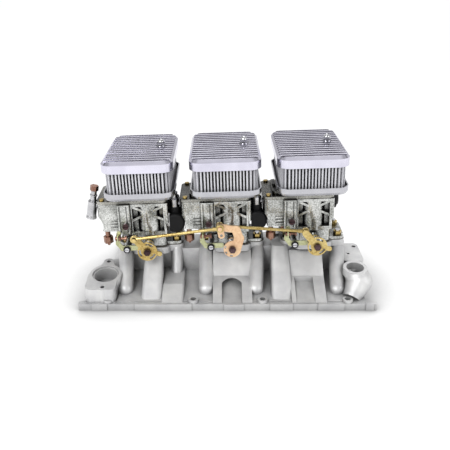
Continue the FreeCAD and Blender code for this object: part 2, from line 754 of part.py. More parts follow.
def body():
    z0, half = gasket_thickness, body_half_width
    w, d = stud_x + ear_radius, stud_y + ear_radius
    length = throttle_block_half_length
    casting = rounded_block(-w, w, -d, d, z0, z0 + ear_thickness, ear_radius - 1)
    block = rounded_block(-length, length, -half + 3, half - 3, z0, throttle_block_height, 10)
    neck = rounded_block(barrel_left, barrel_right, -half, half, throttle_block_height - 1, body_height, 4)
    for side in (-1, 1):
        y0, y1 = sorted((side * (half + 1), side * (half - pocket_depth)))
        z0, z1 = throttle_block_height + 5, body_height - 5
        neck = neck.cut(box(barrel_left + 5, barrel_right - 5, y0, y1, z0, z1))
    casting = casting.fuse(block).fuse(neck)
    for y in barrel_y:
        low, high = V(0, y, throttle_block_height - 2), V(0, y, body_height)
        casting = casting.fuse(rod(barrel_radius + wall_thickness, low, high))
    for shape in front_frame():
        casting = casting.fuse(shape).fuse(mirrored(shape))
    bowl = bowl_block()
    pilaster = rounded_block(
        barrel_left - pilaster_width, barrel_left + 2, -half - pilaster_proud, -half + 8,
        throttle_block_height + 2, body_height, 3,
    )
    face = -half - pilaster_proud
    for x in (barrel_left - pilaster_width + 5, barrel_left - 4):
        pilaster = pilaster.cut(box(x - 1.2, x + 1.2, face - 1, face + 1.6, bowl_bottom, body_height - 2))
    seat = V(jet_x, -half - pilaster_proud - 2, jet_z)
    pilaster = pilaster.fuse(rod(jet_seat_radius, seat, seat + Y_AXIS * 6))
    casting = casting.fuse(bowl).fuse(pilaster)
    for i in range(3):
        z = bowl_bottom + 5 + i * 6
        x0, x1 = bowl_left + 22, barrel_left - pilaster_width + 1
        fin = box(x0, x1, -bowl_half_width - fin_proud, -bowl_half_width + 1, z, z + fin_height)
        casting = casting.fuse(fin)
    for y in (-half + 5, half - 5):
        post = rounded_block(barrel_right - 4, body_right, y - 5, y + 5, 46, body_height, 3)
        casting = casting.fuse(post)
    cap_seat = V(barrel_right - 2, choke_cap_y, choke_cap_z)
    casting = casting.fuse(rod(choke_cap_radius + 1.5, cap_seat, V(choke_cap_x, choke_cap_y, choke_cap_z)))
    casting = casting.fuse(bracket_post())
    boss_front, boss_rear = V(0, -shaft_boss_end, shaft_height), V(0, shaft_boss_end - 8, shaft_height)
    casting = casting.fuse(rod(shaft_boss_radius, boss_front, boss_rear))

    cavity = rounded_block(
        bowl_left + bowl_wall, barrel_left - 4, -bowl_half_width + bowl_wall, bowl_half_width - bowl_wall,
        bowl_bottom + bowl_wall, body_height + 1, bowl_corner - bowl_wall,
    )
    casting = casting.cut(cavity.cut(scallop(bowl_wall)))
    for x, y in cover_screw_places()[:2]:
        casting = casting.fuse(rod(screw_boss_radius, V(x, y, bowl_bottom + 24), V(x, y, body_height)))
    cuts = []
    for y in barrel_y:
        cuts.append(rod(throat_radius, V(0, y, -1), V(0, y, throat_top + 1)))
        cuts.append(rod(barrel_radius, V(0, y, throat_top), V(0, y, body_height + 1)))
    for x, y in stud_places():
        cuts.append(rod(stud_radius + stud_clearance, V(x, y, -1), V(x, y, z0 + ear_thickness + 1)))
    for x, y in cover_screw_places():
        low = body_height - screw_length + cover_flange
        cuts.append(rod(screw_radius, V(x, y, low), V(x, y, body_height + 1)))
    cuts.append(rod(shaft_radius + running_clearance, V(0, -70, shaft_height), V(0, 70, shaft_height)))
    cuts.append(rod(jet_radius, seat, seat + Y_AXIS * jet_depth))
    seat = V(post_x, -bracket_front + bracket_thickness, post_z)
    cuts.append(rod(bracket_screw_radius, seat + Y_AXIS * -1, seat + Y_AXIS * 8))
    for cut in cuts:
        casting = casting.cut(cut)
    return casting.removeSplitter()


def cover_screw_places():
    outer = [(bowl_left + 10, side * (bowl_half_width - 6)) for side in (-1, 1)]
    return outer + [(barrel_left - 3, side * (bowl_half_width - 6)) for side in (-1, 1)]


def cover():
    z0, top = cover_seat, carb_height - seal_thickness
    z1 = z0 + cover_flange
    half = body_half_width
    plate = rounded_block(bowl_left, body_right, -half + 1, half - 1, z0, z1, bowl_corner - 2)
    tower = rounded_block(-tower_half_length, tower_half_length, -half, half, z1 - 1, top, 20)
    left, deep = bowl_left + cover_dome_inset + 12, bowl_half_width - 9
    dome = rounded_block(left, barrel_left - 9, -deep, deep, z1 - 1, z1 + 6, 8)
    rib = rounded_block(left + 2, -20, -4, 4, z1 - 1, z1 + 10, 3)
    casting = plate.fuse(tower).fuse(dome).fuse(rib)
    for side in (-1, 1):
        y0, y1 = sorted((side * float_lug_inner, side * float_lug_outer))
        lug = box(float_pivot_x - 3, float_pivot_x + 2.5, y0, y1, float_pivot_z - 3.5, z0 + 1)
        casting = casting.fuse(lug)
    front, back = V(float_pivot_x, -30, float_pivot_z), V(float_pivot_x, 30, float_pivot_z)
    cuts = [rod(float_pin_radius + running_clearance, front, back)]
    for y in barrel_y:
        cuts.append(rod(barrel_radius, V(0, y, z0 - 1), V(0, y, top + 1)))
    for x, y in cover_screw_places():
        cuts.append(rod(screw_radius, V(x, y, z0 - 1), V(x, y, z1 + 1)))
    front, back = V(0, -half + 0.8, choke_shaft_height), V(0, 60, choke_shaft_height)
    cuts.append(rod(choke_shaft_radius + running_clearance, front, back))
    stud = lid_stud_place()
    cuts.append(rod(lid_stud_radius, V(stud[0], stud[1], top - lid_stud_grip), V(stud[0], stud[1], top + 1)))
    for cut in cuts:
        casting = casting.cut(cut)
    return casting.removeSplitter()


def cover_gasket():
    deep = body_half_width - 1.5
    left, right = bowl_left + 0.5, body_right - 0.5
    sheet = rounded_block(left, right, -deep, deep, body_height, cover_seat, bowl_corner - 2)
    cavity = rounded_block(
        bowl_left + bowl_wall, barrel_left - 4, -bowl_half_width + bowl_wall, bowl_half_width - bowl_wall,
        body_height - 1, cover_seat + 1, bowl_corner - bowl_wall,
    )
    sheet = sheet.cut(cavity)
    for x, y in cover_screw_places()[:2]:
        sheet = sheet.fuse(rod(screw_boss_radius, V(x, y, body_height), V(x, y, cover_seat)))
    for y in barrel_y:
        sheet = sheet.cut(rod(barrel_radius, V(0, y, body_height - 1), V(0, y, cover_seat + 1)))
    for x, y in cover_screw_places():
        sheet = sheet.cut(rod(screw_radius, V(x, y, body_height - 1), V(x, y, cover_seat + 1)))
    return sheet


def slotted_screw(head_radius, head_height, shank_radius, shank_length, seat, axis):
    """A round-headed screw that sits on seat with its head towards axis."""
    head = Part.makeCylinder(head_radius, head_height, V(0, 0, 0), Z_AXIS)
    slot = box(-head_radius, head_radius, -0.6, 0.6, head_height - 1.2, head_height + 1)
    shank = Part.makeCylinder(shank_radius, shank_length, V(0, 0, -shank_length), Z_AXIS)
    shape = head.cut(slot).fuse(shank)
    shape.Placement = FreeCAD.Placement(seat, FreeCAD.Rotation(Z_AXIS, axis))
    return shape


def cover_screws():
    seats = [V(x, y, cover_seat + cover_flange) for x, y in cover_screw_places()]
    return [slotted_screw(4.2, 3.2, screw_radius, screw_length, seat, Z_AXIS) for seat in seats]


def idle_jet_holder():
    seat = V(jet_x, -body_half_width - pilaster_proud - 2, jet_z)
    return [slotted_screw(jet_seat_radius - 1, 3, jet_radius, jet_depth - 1, seat, Y_AXIS * -1)]


def inlet_fitting(name):
    """A turned fuel inlet with a bell mouth at its foot and a side neck that screws to the bowl."""
    r, first = inlet_radius, name == carb_names[0]
    top = inlet_top if first else inlet_low_top
    profile = [
        (0, inlet_mouth), (r + 1, inlet_mouth), (r + 1, inlet_mouth + 2), (r, inlet_mouth + 6),
        (r, inlet_neck_z + 8),
        (r - 3, inlet_neck_z + 12), (r - 3, inlet_neck_z + 18), (r - 2, inlet_neck_z + 19),
        (r - 2, inlet_neck_z + 21), (r - 3.5, inlet_neck_z + 22), (r - 3.5, top), (0, top), (0, inlet_mouth),
    ]
    turned = Part.Face(Part.makePolygon([V(x, 0, z) for x, z in profile])).revolve(V(0, 0, 0), Z_AXIS, 360)
    mouth = rod(inlet_bore, V(0, 0, inlet_mouth - 1), V(0, 0, inlet_mouth + 14))
    turned = inlet_placed(turned.cut(mouth), name)
    neck = rod(inlet_neck_radius, V(inlet_x, inlet_y, inlet_neck_z), V(bowl_left, inlet_y, inlet_neck_z))
    return turned.fuse(neck)


def inlet_placed(shape, name):
    """A shape drawn about the inlet's upright axis, moved there and leaned where the inlet leans."""
    copy = shape.copy()
    if name == carb_names[0]:
        copy.rotate(V(0, 0, inlet_neck_z), Y_AXIS, inlet_lean)
    copy.translate(V(inlet_x, inlet_y, 0))
    return copy


def inlet_plug():
    """The hexagon plug on top of the first inlet."""
    return inlet_placed(hexagon(inlet_plug_flats, inlet_plug_height, V(0, 0, inlet_top)), carb_names[0])


def inlet_boot():
    """A black rubber elbow pushed over the bell of an inlet beside a neighbour, its round end to the front."""
    sleeve_radius = inlet_radius + boot_wall
    top = inlet_neck_z - inlet_neck_radius - 0.5
    sleeve = rod(sleeve_radius, V(0, 0, boot_z), V(0, 0, top - 3))
    sleeve = sleeve.fuse(cone(sleeve_radius, inlet_radius + 0.4, V(0, 0, top - 3), V(0, 0, top)))
    r, e, depth = boot_radius, boot_edge, boot_depth
    bulge = e * math.sqrt(0.5)
    profile = Part.Wire([
        Part.makeLine(V(0, 0, 0), V(r - e, 0, 0)),
        Part.Arc(V(r - e, 0, 0), V(r - e + bulge, 0, e - bulge), V(r, 0, e)).toShape(),
        Part.makeLine(V(r, 0, e), V(r, 0, depth - e)),
        Part.Arc(V(r, 0, depth - e), V(r - e + bulge, 0, depth - e + bulge), V(r - e, 0, depth)).toShape(),
        Part.makeLine(V(r - e, 0, depth), V(0, 0, depth)),
        Part.makeLine(V(0, 0, depth), V(0, 0, 0)),
    ])
    drum = Part.Face(profile).revolve(V(0, 0, 0), Z_AXIS, 360)
    drum.Placement = FreeCAD.Placement(V(0, -boot_front - inlet_y, boot_z), FreeCAD.Rotation(Z_AXIS, Y_AXIS))
    bell = rod(inlet_radius + 1, V(0, 0, inlet_mouth), V(0, 0, inlet_mouth + 6))
    bell = bell.fuse(rod(inlet_radius, V(0, 0, inlet_mouth), V(0, 0, top + 1)))
    shape = sleeve.fuse(drum).cut(bell)
    shape = shape.common(box(boot_flat - inlet_x, 40, -40, 40, 0, 100))
    shape.translate(V(inlet_x, inlet_y, 0))
    return shape


def bowl_plugs():
    """The drain fitting under the bowl, with its hexagon and tip, and a small screw beside it."""
    at = V(bowl_plug_x, bowl_plug_y, bowl_bottom)
    low = at - Z_AXIS * bowl_plug_neck
    foot = low - Z_AXIS * bowl_plug_height
    drain = rod(4.5, at, low).fuse(hexagon(bowl_plug_flats, bowl_plug_height, foot))
    drain = drain.fuse(rod(2.4, foot, foot - Z_AXIS * 5))
    seat = V(vent_screw_x, vent_screw_y, bowl_bottom)
    screw = hexagon(8, 5, seat - Z_AXIS * 5).fuse(rod(2.5, seat - Z_AXIS * 9, seat - Z_AXIS * 5))
    return [drain, screw]


def bracket_post():
    """The cast post that carries the idle bracket, with the foot that joins it to the throttle block."""
    post = rod(post_radius, V(post_x, -bracket_front + bracket_thickness, post_z), V(post_x, -38, post_z))
    right = -throttle_block_half_length + 4
    foot = box(post_x - 3, right, -body_half_width + 3, -36, ear_thickness, 2 * post_z - 4)
    return post.fuse(foot)


def idle_bracket():
    """A pressed strip that rises beside the lever and carries the idle screw in a bent tab."""
    y0, y1 = -bracket_front, -bracket_front + bracket_thickness
    points = ((bracket_right, post_z + 2.4), (post_x - 8, post_z + 1.9), (idle_tab_x - 2, 24))
    points += ((idle_tab_x + 1, idle_screw_z + 7),)
    strip = bar_y(points[0], points[1], 9, y0, y1)
    for start, end in zip(points[1:], points[2:]):
        strip = strip.fuse(bar_y(start, end, 8, y0, y1))
    z = idle_screw_z
    tab = box(idle_tab_x - 1, idle_tab_x + 1, idle_screw_y - 5, y1, z - 5, z + 5)
    hole = rod(bracket_screw_radius, V(post_x, y0 - 1, post_z), V(post_x, y1 + 1, post_z))
    screw_way = rod(idle_screw_radius, V(idle_tab_x - 9, idle_screw_y, z), V(idle_tab_x + 9, idle_screw_y, z))
    return strip.fuse(tab).cut(hole).cut(screw_way)


def idle_screws():
    """The idle screw through its tab, and the screw that holds the bracket to its post."""
    z = idle_screw_z
    left, right = V(idle_tab_x - 1, idle_screw_y, z), V(idle_tab_x + 1, idle_screw_y, z)
    screw = rod(idle_screw_radius, left + X_AXIS * -4, right + X_AXIS * 14)
    screw = screw.fuse(rod(4.4, left + X_AXIS * -3, left)).fuse(hexagon(8, 4, right, X_AXIS))
    screw = screw.fuse(rod(4.6, right + X_AXIS * 11, right + X_AXIS * 14))
    return [screw]


def bracket_screws():
    seat = V(post_x, -bracket_front, post_z)
    return [slotted_screw(4.0, 3.4, bracket_screw_radius, 9.0, seat, Y_AXIS * -1)]


def bracket_ring():
    """The black ring around the bracket screw's head."""
    seat = V(post_x, -bracket_front, post_z)
    return tube(washer_radius, 4.2, seat, seat + Y_AXIS * -3.0)


def boosters():
    """The small inner venturis, each hung on an arm from the barrel wall."""
    shapes = []
    for y in barrel_y:
        ring = tube(8, 6, V(0, y, booster_z), V(0, y, booster_z + 14))
        arm = box(-barrel_radius - 1, -7, y - 2, y + 2, booster_z + 4, booster_z + 9)
        arm = arm.common(rod(barrel_radius, V(0, y, booster_z), V(0, y, booster_z + 14)))
        shapes.append(ring.fuse(arm))
    return shapes


def choke_cap():
    at = V(choke_cap_x, choke_cap_y, choke_cap_z)
    depth = choke_cap_depth
    cap = rod(choke_cap_radius, at, at + X_AXIS * (depth - 4))
    crown = cone(choke_cap_radius - 3, choke_cap_radius - 6, at + X_AXIS * (depth - 4), at + X_AXIS * depth)
    return [cap.fuse(crown)]


# ---- moving parts of a carburetor ----
def throttle_shaft():
    z = shaft_height
    shape = rod(shaft_radius, V(0, -shaft_front, z), V(0, shaft_rear, z))
    for y in barrel_y:
        half = plate_thickness / 2
        shape = shape.fuse(rod(throat_radius - plate_clearance, V(0, y, z - half), V(0, y, z + half)))
    return shape


def lever_pin(x, z, to_front):
    """A pin with a collar behind the rod's eye and a head beyond it."""
    face = -lever_front if to_front else -lever_front + lever_thickness
    step = -1 if to_front else 1
    shapes = [
        rod(pin_radius, V(x, face, z), V(x, face + step * pin_length, z)),
        rod(pin_radius + 1.8, V(x, face, z), V(x, face + step * pin_collar, z)),
        rod(pin_radius + 1.2, V(x, face + step * (pin_length - 2), z), V(x, face + step * pin_length, z)),
    ]
    return shapes


def hub(z):
    return rod(hub_radius, V(0, -lever_front, z), V(0, -hub_back, z))


def arc_slot(z, radius, start, sweep, width, y0, y1):
    """A curved slot about the shaft, drawn as rings of overlapping round holes joined by an arc."""
    def at(r, degrees):
        a = math.radians(degrees)
        return V(r * math.cos(a), y0, z + r * math.sin(a))

    inner, outer, mid, end = radius - width / 2, radius + width / 2, start + sweep / 2, start + sweep
    outline = Part.Wire([
        Part.Arc(at(inner, start), at(inner, mid), at(inner, end)).toShape(),
        Part.makeLine(at(inner, end), at(outer, end)),
        Part.Arc(at(outer, end), at(outer, mid), at(outer, start)).toShape(),
        Part.makeLine(at(outer, start), at(inner, start)),
    ])
    return Part.Face(outline).extrude(V(0, y1 - y0, 0))


def side_lever(to_front):
    z = shaft_height
    y0, y1 = -lever_front, -lever_front + lever_thickness
    pin = (side_pin[0], z + side_pin[1])
    shape = rod(disc_radius, V(0, y0, z), V(0, y1, z)).fuse(bar_y((0, z), pin, 12, y0, y1)).fuse(hub(z))
    stop = bar_y((0, z), (disc_radius + 4, z - 5), 8, y0, y1)
    shape = shape.fuse(stop)
    for part in lever_pin(pin[0], pin[1], to_front):
        shape = shape.fuse(part)
    for start in (-75, 45, 165):
        shape = shape.cut(arc_slot(z, disc_radius - 4, start, 55, 3.6, y0 - 1, y1 + 1))
    return shape.cut(rod(shaft_radius, V(0, -100, z), V(0, 0, z)))


def hook_lever():
    """The master lever: a plate that rises from the hub, crosses over and comes back to the rods' pin."""
    z = shaft_height
    y0, y1 = -lever_front, -lever_front + lever_thickness
    pin = (middle_pin[0], z + middle_pin[1])
    shoulder, crown, tip = (12, z + 20), (7, z + 36), (-18, z + 26)
    shape = rod(disc_radius - 2, V(0, y0, z), V(0, y1, z)).fuse(hub(z))
    shape = shape.fuse(bar_y((6, z - 1), shoulder, 17, y0, y1)).fuse(bar_y(shoulder, crown, 15, y0, y1))
    shape = shape.fuse(bar_y(crown, pin, 12, y0, y1)).fuse(bar_y(pin, tip, 11, y0, y1))
    for part in lever_pin(pin[0], pin[1], True) + lever_pin(pin[0], pin[1], False):
        shape = shape.fuse(part)
    shape = shape.cut(rod(2.6, V(tip[0], y0 - 1, tip[1]), V(tip[0], y1 + 1, tip[1])))
    for start in (150, 200, 250):
        shape = shape.cut(arc_slot(z, disc_radius - 4.5, start, 22, 3.0, y0 - 1, y1 + 1))
    return shape.cut(rod(shaft_radius, V(0, -100, z), V(0, 0, z)))


def shaft_nut():
    z = shaft_height
    nut = hexagon(shaft_nut_flats, shaft_nut_height, V(0, -lever_front, z), Y_AXIS * -1)
    return nut.cut(rod(shaft_radius, V(0, -100, z), V(0, 0, z)))


def choke_valve():
    z = choke_shaft_height
    shape = rod(choke_shaft_radius, V(0, -body_half_width + 1.2, z), V(0, choke_lever_y + 4, z))
    for y in barrel_y:
        half = choke_plate_thickness / 2
        shape = shape.fuse(rod(barrel_radius - plate_clearance, V(0, y, z - half), V(0, y, z + half)))
    lever = bar_y((0, z), (-2, z - 13), 6, choke_lever_y, choke_lever_y + 2.5)
    return shape.fuse(lever)


def float_piece():
    x, z = float_pivot_x, float_pivot_z
    pin = rod(float_pin_radius, V(x, -float_lug_outer - 1, z), V(x, float_lug_outer + 1, z))
    low, high = z - 8 - float_height, z - 8
    left, right = bowl_left + bowl_wall + float_gap, barrel_left - 15
    block = rounded_block(left, right, -float_half_width, float_half_width, low, high, 8)
    near, far = right - 6, left + 12
    outline = [(x - 1.4, z - 1.4), (x + 1.4, z + 1.4), (near, high + 2.5), (far, high + 2.5)]
    arm = prism_y(outline + [(far, high - 1), (near, high - 1)], -4, 4)
    return pin.fuse(arm).fuse(block)


# ---- link rods ----
def link_rod(name):
    """A rod from the middle lever's pin to an outer lever's pin, whose outer eye is a short upright slot."""
    to_front = name == "left"
    face = -lever_front if to_front else -lever_front + lever_thickness
    y = face + (-1 if to_front else 1) * (pin_collar + rod_gap + rod_eye_thickness / 2)
    inner = V(carb_x["middle"] + middle_pin[0], y, shaft_z + middle_pin[1])
    outer = V(carb_x[name] + side_pin[0], y, shaft_z + side_pin[1] + slot_rise)
    along = (outer - inner).normalize()
    half = rod_eye_thickness / 2
    shape = rod(rod_radius, inner + along * 4, outer - along * 4)
    for end in (inner, outer):
        shape = shape.fuse(rod(rod_eye_radius, V(end.x, y - half, end.z), V(end.x, y + half, end.z)))
        collar = end + along * (9 if end is inner else -9)
        shape = shape.fuse(rod(rod_radius + 0.8, collar - along * 4, collar + along * 4))
    hole = pin_radius + pin_clearance
    shape = shape.cut(rod(hole, V(inner.x, y - 9, inner.z), V(inner.x, y + 9, inner.z)))
    width = 2 * (pin_radius + rod_slot_width_play)
    low, high = (outer.x, outer.z - slot_play), (outer.x, outer.z + slot_play)
    return shape.cut(bar_y(low, high, width, y - 9, y + 9))


# ---- filters, drawn about the filter centre with z = 0 on the filter seat ----
def filter_block(inset, z0, z1):
    w, d = filter_width / 2 - inset, filter_depth / 2 - inset
    return rounded_block(-w, w, -d, d, z0, z1, filter_corner - inset)


def filter_tapered(inset0, inset1, z0, z1):
    wires = []
    for inset, z in ((inset0, z0), (inset1, z1)):
        w, d = filter_width - 2 * inset, filter_depth - 2 * inset
        wires.append(rounded_rectangle(V(0, 0, z), X_AXIS, Y_AXIS, w, d, filter_corner - inset))
    return Part.makeLoft(wires, True, True)


def filter_base():
    tray = filter_tapered(filter_sheet, 0, 0, 4).fuse(filter_block(0, 4, filter_base_height))
    tray = tray.cut(filter_block(filter_sheet, filter_floor, filter_base_height + 1))
    for y in barrel_y:
        tray = tray.cut(rod(filter_neck_radius - 2, V(-filter_shift, y, -1), V(-filter_shift, y, 9)))
    at = V(lid_nut_x, lid_nut_y, 0)
    return tray.cut(rod(lid_stud_radius + stud_clearance, at - Z_AXIS, at + Z_AXIS * 9))


def filter_element():
    top = filter_total - lid_roof
    outer = filter_block(element_inset, filter_floor, top)
    return outer.cut(filter_block(element_inset + element_depth, filter_floor - 1, top + 1))


def filter_lid():
    low, top = filter_total - lid_height, filter_total
    lid = filter_block(0, low, top - lid_bevel).fuse(filter_tapered(0, lid_bevel, top - lid_bevel, top))
    lid = lid.cut(filter_block(filter_sheet, low - 1, top - lid_roof))
    count = int((filter_depth - 2 * lid_bevel - 8) / rib_pitch)
    for i in range(count + 1):
        y = (i - count / 2) * rib_pitch
        y0, y1 = y - rib_pitch / 4, y + rib_pitch / 4
        lid = lid.cut(box(-filter_width, filter_width, y0, y1, top - rib_depth, top + 1))
    at = V(lid_nut_x, lid_nut_y, 0)
    return lid.cut(rod(lid_stud_radius + stud_clearance, at + Z_AXIS * low, at + Z_AXIS * (top + 1)))


def lid_stud_place():
    return lid_nut_x + filter_shift, lid_nut_y


def lid_stud():
    low = -seal_thickness - lid_stud_grip
    return [rod(lid_stud_radius, V(lid_nut_x, lid_nut_y, low), V(lid_nut_x, lid_nut_y, filter_total + 5))]


def lid_nut():
    at = V(lid_nut_x, lid_nut_y, filter_total)
    washer = rod(lid_nut_radius + 1, at, at + Z_AXIS * 1.5)
    nut = hexagon(12, 5, at + Z_AXIS * 1.5)
    above = box(at.x - 9, at.x + 9, at.y - 9, at.y + 9, at.z + 6, at.z + 20)
    dome = Part.makeSphere(5.6, at + Z_AXIS * 6.5).common(above)
    bore = rod(lid_stud_radius, at, at + Z_AXIS * 5)
    return [washer.fuse(nut).fuse(dome).cut(bore)]


def filter_seal():
    """A black rubber seal between the cover's tower and the filter's tray."""
    half = body_half_width
    c = -filter_shift
    ring = rounded_block(c - tower_half_length, c + tower_half_length, -half, half, -seal_thickness, 0, 20)
    for y in barrel_y:
        ring = ring.cut(rod(filter_neck_radius - 2, V(c, y, -9), V(c, y, 9)))
    at = V(lid_nut_x, lid_nut_y, 0)
    return [ring.cut(rod(lid_stud_radius + stud_clearance, at - Z_AXIS * 9, at + Z_AXIS * 9))]


# ---- small parts on the manifold ----
def carb_studs():
    top = gasket_thickness + ear_thickness + nut_height + 3
    return [rod(stud_radius, V(x, y, -stud_depth), V(x, y, top)) for x, y in stud_places()]


def stud_nuts():
    shapes = []
    for x, y in stud_places():
        nut = hexagon(nut_flats, nut_height, V(x, y, gasket_thickness + ear_thickness))
        shapes.append(nut.cut(rod(stud_radius, V(x, y, 0), V(x, y, 40))))
    return shapes


# ---- the files ----
def all_of(make, lift=0.0, shift=0.0):
    """One piece per carburetor, each moved to its place in the row."""
    shapes = []
    for name in carb_names:
        for shape in make():
            copy = placed(shape, name)
            copy.translate(V(shift, 0, lift))
            shapes.append(copy)
    return Part.makeCompound(shapes)


def filter_placed(shape, name):
    copy = placed(shape, name)
    copy.translate(V(filter_shift, 0, carb_height))
    return copy


def build():
    nodes = {}
    nodes["base_gaskets"] = all_of(lambda: [gasket()])
    nodes["carb_studs"] = all_of(carb_studs)
    nodes["stud_nuts"] = all_of(stud_nuts)
    nodes["cover_gaskets"] = all_of(lambda: [cover_gasket()])
    nodes["cover_screws"] = all_of(cover_screws)
    nodes["idle_jet_holders"] = all_of(idle_jet_holder)
    nodes["bowl_plugs"] = all_of(bowl_plugs)
    nodes["idle_brackets"] = all_of(lambda: [idle_bracket()])
    nodes["idle_screws"] = all_of(idle_screws)
    nodes["bracket_screws"] = all_of(bracket_screws)
    nodes["bracket_rings"] = all_of(lambda: [bracket_ring()])
    nodes["booster_venturis"] = all_of(boosters)
    nodes["choke_caps"] = all_of(choke_cap)
    nodes["filter_seals"] = all_of(filter_seal, carb_height, filter_shift)
    nodes["lid_studs"] = all_of(lid_stud, carb_height, filter_shift)
    nodes["lid_nuts"] = all_of(lid_nut, carb_height, filter_shift)
    nodes["fuel_inlets"] = Part.makeCompound([placed(inlet_fitting(n), n) for n in carb_names])
    nodes["inlet_plug"] = placed(inlet_plug(), carb_names[0])
    nodes["inlet_boots"] = Part.makeCompound([placed(inlet_boot(), n) for n in carb_names[1:]])
    shared = {
        "body": body(), "cover": cover(), "throttle_shaft": throttle_shaft(), "shaft_nut": shaft_nut(),
        "choke_valve": choke_valve(), "float": float_piece(),
    }
    lids = {"filter_base": filter_base(), "filter_element": filter_element(), "filter_lid": filter_lid()}
    levers = {"left": side_lever(True), "middle": hook_lever(), "right": side_lever(False)}
    for name in carb_names:
        for node, shape in shared.items():
            nodes[node + "_" + name] = placed(shape, name)
        for node, shape in lids.items():
            nodes[node + "_" + name] = filter_placed(shape, name)
        nodes["throttle_lever_" + name] = placed(levers[name], name)
    for name in ("left", "right"):
        nodes["link_rod_" + name] = link_rod(name)
    nodes = {node: tilted(shape) for node, shape in nodes.items()}
    nodes["manifold"] = manifold()
    return nodes


if __name__ == "__main__":
    os.makedirs("parts", exist_ok=True)
    for node, shape in build().items():
        if not shape.isValid():
            print("not valid:", node)
        shape.exportStep("parts/" + node + ".step")
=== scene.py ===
"""Looks of a triple carburetor intake assembly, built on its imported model. Metres, row frame.

The layout is that of an add-on: settings, one operator per group of pieces, a panel, register and unregister.
"""

import json
import math

import bmesh
import bpy
from mathutils import Matrix, Vector


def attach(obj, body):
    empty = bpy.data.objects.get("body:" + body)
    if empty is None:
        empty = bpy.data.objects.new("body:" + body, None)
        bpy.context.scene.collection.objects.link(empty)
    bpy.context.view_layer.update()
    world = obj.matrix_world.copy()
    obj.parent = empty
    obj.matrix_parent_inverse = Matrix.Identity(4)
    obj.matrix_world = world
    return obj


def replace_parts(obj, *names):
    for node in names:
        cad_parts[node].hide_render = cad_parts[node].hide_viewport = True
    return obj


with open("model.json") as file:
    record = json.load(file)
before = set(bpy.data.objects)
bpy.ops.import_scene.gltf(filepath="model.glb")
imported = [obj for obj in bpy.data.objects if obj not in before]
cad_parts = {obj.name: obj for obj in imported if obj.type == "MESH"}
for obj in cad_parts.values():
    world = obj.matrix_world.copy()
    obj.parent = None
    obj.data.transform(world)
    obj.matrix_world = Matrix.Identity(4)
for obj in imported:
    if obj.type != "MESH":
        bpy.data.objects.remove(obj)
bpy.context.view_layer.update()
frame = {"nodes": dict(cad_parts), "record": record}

bl_info = {
    "name": "Carburetor intake looks",
    "version": (1, 0, 0),
    "blender": (4, 5, 0),
    "location": "3D View > Sidebar > Intake",
    "description": "Adds pleats, springs, fine parts, finishes and the stage to the packed intake assembly",
    "category": "Object",
}

NAMES = ("left", "middle", "right")
CARB_X = {"left": -0.138, "middle": 0.008, "right": 0.154}
PAD_Z = 0.081
SHAFT_Z = PAD_Z + 0.0145
FILTER_SHIFT = -0.008
FILTER_Z = PAD_Z + 0.1065
ROOT = "manifold_assembly"
ELEMENT = (0.108, 0.166, 0.061)  # outer size of a filter element
ELEMENT_LOW = FILTER_Z + 0.002
LEVER_Y = -0.092
NICHE_X = 0.007  # hollow under the middle saddle
NICHE_WIDTH = 0.035
NICHE_STEP = 0.027  # height of its sloping back
ROW_TILT = math.radians(1.96)  # the carburetors' pads rise towards the distributor end
PIVOT = Vector((0.008, 0.0, PAD_Z))
ROW = Matrix.Translation(PIVOT) @ Matrix.Rotation(-ROW_TILT, 4, "Y") @ Matrix.Translation(-PIVOT)


# ---- materials ----
def srgb(hexa):
    """A colour given as sRGB hex, as linear RGBA."""
    values = [int(hexa[i:i + 2], 16) / 255 for i in (0, 2, 4)]
    return tuple(v / 12.92 if v <= 0.04045 else ((v + 0.055) / 1.055) ** 2.4 for v in values) + (1.0,)


def add_node(tree, kind, settings=(), inputs=(), links=()):
    """Adds a node: settings are attributes, inputs are socket values, links are (socket, from node, from socket)."""
    node = tree.nodes.new(kind)
    for name, value in dict(settings).items():
        setattr(node, name, value)
    for name, value in dict(inputs).items():
        node.inputs[name].default_value = value
    for name, source, output in links:
        tree.links.new(source.outputs[output], node.inputs[name])
    return node


def new_material(name):
    material = bpy.data.materials.new(name)
    material.use_nodes = True
    tree = material.node_tree
    tree.nodes.clear()
    return material, tree


def finish_shader(tree, shader):
    output = tree.nodes.new("ShaderNodeOutputMaterial")
    tree.links.new(shader.outputs["BSDF"], output.inputs["Surface"])


def ramp(tree, stops, source, output="Fac"):
    node = add_node(tree, "ShaderNodeValToRGB", links=[("Fac", source, output)])
    elements = node.color_ramp.elements
    while len(elements) < len(stops):
        elements.new(0.5)
    for element, (position, colour) in zip(elements, stops):
        element.position = position
        element.color = colour
    return node


def grey(value):
    return (value, value, value, 1.0)


